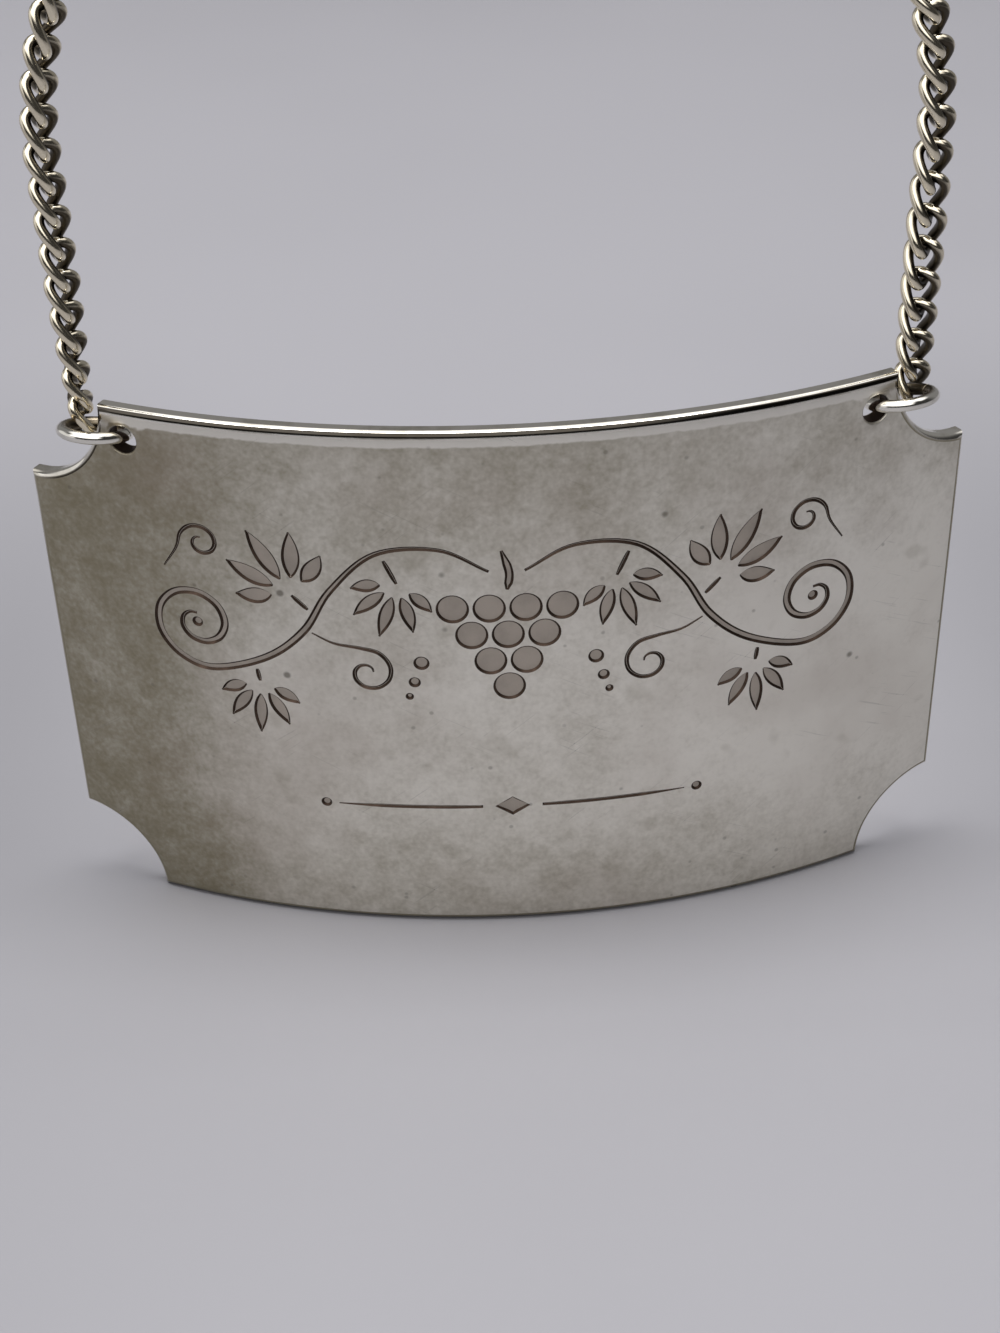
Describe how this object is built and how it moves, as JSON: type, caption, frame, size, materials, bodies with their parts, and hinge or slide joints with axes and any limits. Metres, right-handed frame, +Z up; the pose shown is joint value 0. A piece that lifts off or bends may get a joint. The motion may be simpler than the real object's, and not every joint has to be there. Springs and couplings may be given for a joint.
{
  "type": "silver wine label",
  "caption": "Bowed silver label plate with scooped corners, hung on a curb chain by two jump rings to lie against the neck of a bottle or decanter",
  "frame": {"origin": "the middle of the round that the top of the chain lies on, such as a bottle's neck or a peg", "axes": "X runs along the width of the plate to its right, -Y points out of its bowed front, +Z points up"},
  "size_m": [0.054, 0.0082, 0.072],
  "materials": {
    "satin_silver": "satin, lightly tarnished silver",
    "polished_silver": "polished silver wire",
    "chain_silver": "polished silver wire, dark between the links"
  },
  "bodies": {
    "crown": {"crown_link_1": "chain_silver", "crown_link_2": "chain_silver", "crown_link_3": "chain_silver", "crown_link_4": "chain_silver", "crown_link_5": "chain_silver", "crown_link_6": "chain_silver", "crown_link_7": "chain_silver", "crown_link_8": "chain_silver", "crown_link_9": "chain_silver", "crown_link_10": "chain_silver", "crown_link_11": "chain_silver", "crown_link_12": "chain_silver", "crown_link_13": "chain_silver", "crown_link_14": "chain_silver", "crown_link_15": "chain_silver", "crown_link_16": "chain_silver", "crown_link_17": "chain_silver", "crown_link_18": "chain_silver", "crown_link_19": "chain_silver", "crown_link_20": "chain_silver", "crown_link_21": "chain_silver", "crown_link_22": "chain_silver", "crown_link_23": "chain_silver", "crown_link_24": "chain_silver", "crown_link_25": "chain_silver", "crown_link_26": "chain_silver", "crown_link_27": "chain_silver", "crown_link_28": "chain_silver", "crown_link_29": "chain_silver", "crown_link_30": "chain_silver", "crown_link_31": "chain_silver", "crown_link_32": "chain_silver", "crown_link_33": "chain_silver", "crown_link_34": "chain_silver", "crown_link_35": "chain_silver", "crown_link_36": "chain_silver", "crown_link_37": "chain_silver", "crown_link_38": "chain_silver", "crown_link_39": "chain_silver"},
    "left_link_9": {"left_link_9": "chain_silver"},
    "left_link_8": {"left_link_8": "chain_silver"},
    "left_link_7": {"left_link_7": "chain_silver"},
    "left_link_6": {"left_link_6": "chain_silver"},
    "left_link_5": {"left_link_5": "chain_silver"},
    "left_link_4": {"left_link_4": "chain_silver"},
    "left_link_3": {"left_link_3": "chain_silver"},
    "left_link_2": {"left_link_2": "chain_silver"},
    "left_link_1": {"left_link_1": "chain_silver"},
    "left_jump_ring": {"left_jump_ring": "polished_silver"},
    "right_link_9": {"right_link_9": "chain_silver"},
    "right_link_8": {"right_link_8": "chain_silver"},
    "right_link_7": {"right_link_7": "chain_silver"},
    "right_link_6": {"right_link_6": "chain_silver"},
    "right_link_5": {"right_link_5": "chain_silver"},
    "right_link_4": {"right_link_4": "chain_silver"},
    "right_link_3": {"right_link_3": "chain_silver"},
    "right_link_2": {"right_link_2": "chain_silver"},
    "right_link_1": {"right_link_1": "chain_silver"},
    "right_jump_ring": {"right_jump_ring": "polished_silver"},
    "label_plate": {"label_plate": "satin_silver"}
  },
  "joints": [
    {"name": "left_link_9_swing", "type": "hinge", "parent": "crown", "child": "left_link_9", "pos_m": [-0.02349, 0, 0.00085], "axis": [1, 0, 0], "range_deg": [-15, 15]},
    {"name": "left_link_8_swing", "type": "hinge", "parent": "left_link_9", "child": "left_link_8", "pos_m": [-0.02349, 0, -0.001], "axis": [1, 0, 0], "range_deg": [-15, 15]},
    {"name": "left_link_7_swing", "type": "hinge", "parent": "left_link_8", "child": "left_link_7", "pos_m": [-0.02349, 0, -0.00285], "axis": [1, 0, 0], "range_deg": [-15, 15]},
    {"name": "left_link_6_swing", "type": "hinge", "parent": "left_link_7", "child": "left_link_6", "pos_m": [-0.02349, 0, -0.0047], "axis": [1, 0, 0], "range_deg": [-15, 15]},
    {"name": "left_link_5_swing", "type": "hinge", "parent": "left_link_6", "child": "left_link_5", "pos_m": [-0.02349, 0, -0.00655], "axis": [1, 0, 0], "range_deg": [-15, 15]},
    {"name": "left_link_4_swing", "type": "hinge", "parent": "left_link_5", "child": "left_link_4", "pos_m": [-0.02349, 0, -0.0084], "axis": [1, 0, 0], "range_deg": [-15, 15]},
    {"name": "left_link_3_swing", "type": "hinge", "parent": "left_link_4", "child": "left_link_3", "pos_m": [-0.02349, 0, -0.01025], "axis": [1, 0, 0], "range_deg": [-15, 15]},
    {"name": "left_link_2_swing", "type": "hinge", "parent": "left_link_3", "child": "left_link_2", "pos_m": [-0.02349, 0, -0.0121], "axis": [1, 0, 0], "range_deg": [-15, 15]},
    {"name": "left_link_1_swing", "type": "hinge", "parent": "left_link_2", "child": "left_link_1", "pos_m": [-0.02349, 0, -0.01395], "axis": [1, 0, 0], "range_deg": [-15, 15]},
    {"name": "left_jump_ring_swing", "type": "hinge", "parent": "left_link_1", "child": "left_jump_ring", "pos_m": [-0.02349, 0, -0.01524], "axis": [1, 0, 0], "range_deg": [-12, 30]},
    {"name": "right_link_9_swing", "type": "hinge", "parent": "crown", "child": "right_link_9", "pos_m": [0.02349, 0, 0.00085], "axis": [1, 0, 0], "range_deg": [-15, 15]},
    {"name": "right_link_8_swing", "type": "hinge", "parent": "right_link_9", "child": "right_link_8", "pos_m": [0.02349, 0, -0.001], "axis": [1, 0, 0], "range_deg": [-15, 15]},
    {"name": "right_link_7_swing", "type": "hinge", "parent": "right_link_8", "child": "right_link_7", "pos_m": [0.02349, 0, -0.00285], "axis": [1, 0, 0], "range_deg": [-15, 15]},
    {"name": "right_link_6_swing", "type": "hinge", "parent": "right_link_7", "child": "right_link_6", "pos_m": [0.02349, 0, -0.0047], "axis": [1, 0, 0], "range_deg": [-15, 15]},
    {"name": "right_link_5_swing", "type": "hinge", "parent": "right_link_6", "child": "right_link_5", "pos_m": [0.02349, 0, -0.00655], "axis": [1, 0, 0], "range_deg": [-15, 15]},
    {"name": "right_link_4_swing", "type": "hinge", "parent": "right_link_5", "child": "right_link_4", "pos_m": [0.02349, 0, -0.0084], "axis": [1, 0, 0], "range_deg": [-15, 15]},
    {"name": "right_link_3_swing", "type": "hinge", "parent": "right_link_4", "child": "right_link_3", "pos_m": [0.02349, 0, -0.01025], "axis": [1, 0, 0], "range_deg": [-15, 15]},
    {"name": "right_link_2_swing", "type": "hinge", "parent": "right_link_3", "child": "right_link_2", "pos_m": [0.02349, 0, -0.0121], "axis": [1, 0, 0], "range_deg": [-15, 15]},
    {"name": "right_link_1_swing", "type": "hinge", "parent": "right_link_2", "child": "right_link_1", "pos_m": [0.02349, 0, -0.01395], "axis": [1, 0, 0], "range_deg": [-15, 15]},
    {"name": "right_jump_ring_swing", "type": "hinge", "parent": "right_link_1", "child": "right_jump_ring", "pos_m": [0.02349, 0, -0.01524], "axis": [1, 0, 0], "range_deg": [-12, 30]},
    {"name": "label_plate_swing", "type": "hinge", "parent": "left_jump_ring", "child": "label_plate", "pos_m": [-0.02088, -0.0023, -0.01493], "axis": [1, 0, 0], "range_deg": [-30, 6]}
  ],
  "couplings": [
    {"joint": "right_link_9_swing", "follows": "left_link_9_swing", "ratio": 1},
    {"joint": "right_link_8_swing", "follows": "left_link_8_swing", "ratio": 1},
    {"joint": "right_link_7_swing", "follows": "left_link_7_swing", "ratio": 1},
    {"joint": "right_link_6_swing", "follows": "left_link_6_swing", "ratio": 1},
    {"joint": "right_link_5_swing", "follows": "left_link_5_swing", "ratio": 1},
    {"joint": "right_link_4_swing", "follows": "left_link_4_swing", "ratio": 1},
    {"joint": "right_link_3_swing", "follows": "left_link_3_swing", "ratio": 1},
    {"joint": "right_link_2_swing", "follows": "left_link_2_swing", "ratio": 1},
    {"joint": "right_link_1_swing", "follows": "left_link_1_swing", "ratio": 1},
    {"joint": "right_jump_ring_swing", "follows": "left_jump_ring_swing", "ratio": 1}
  ]
}
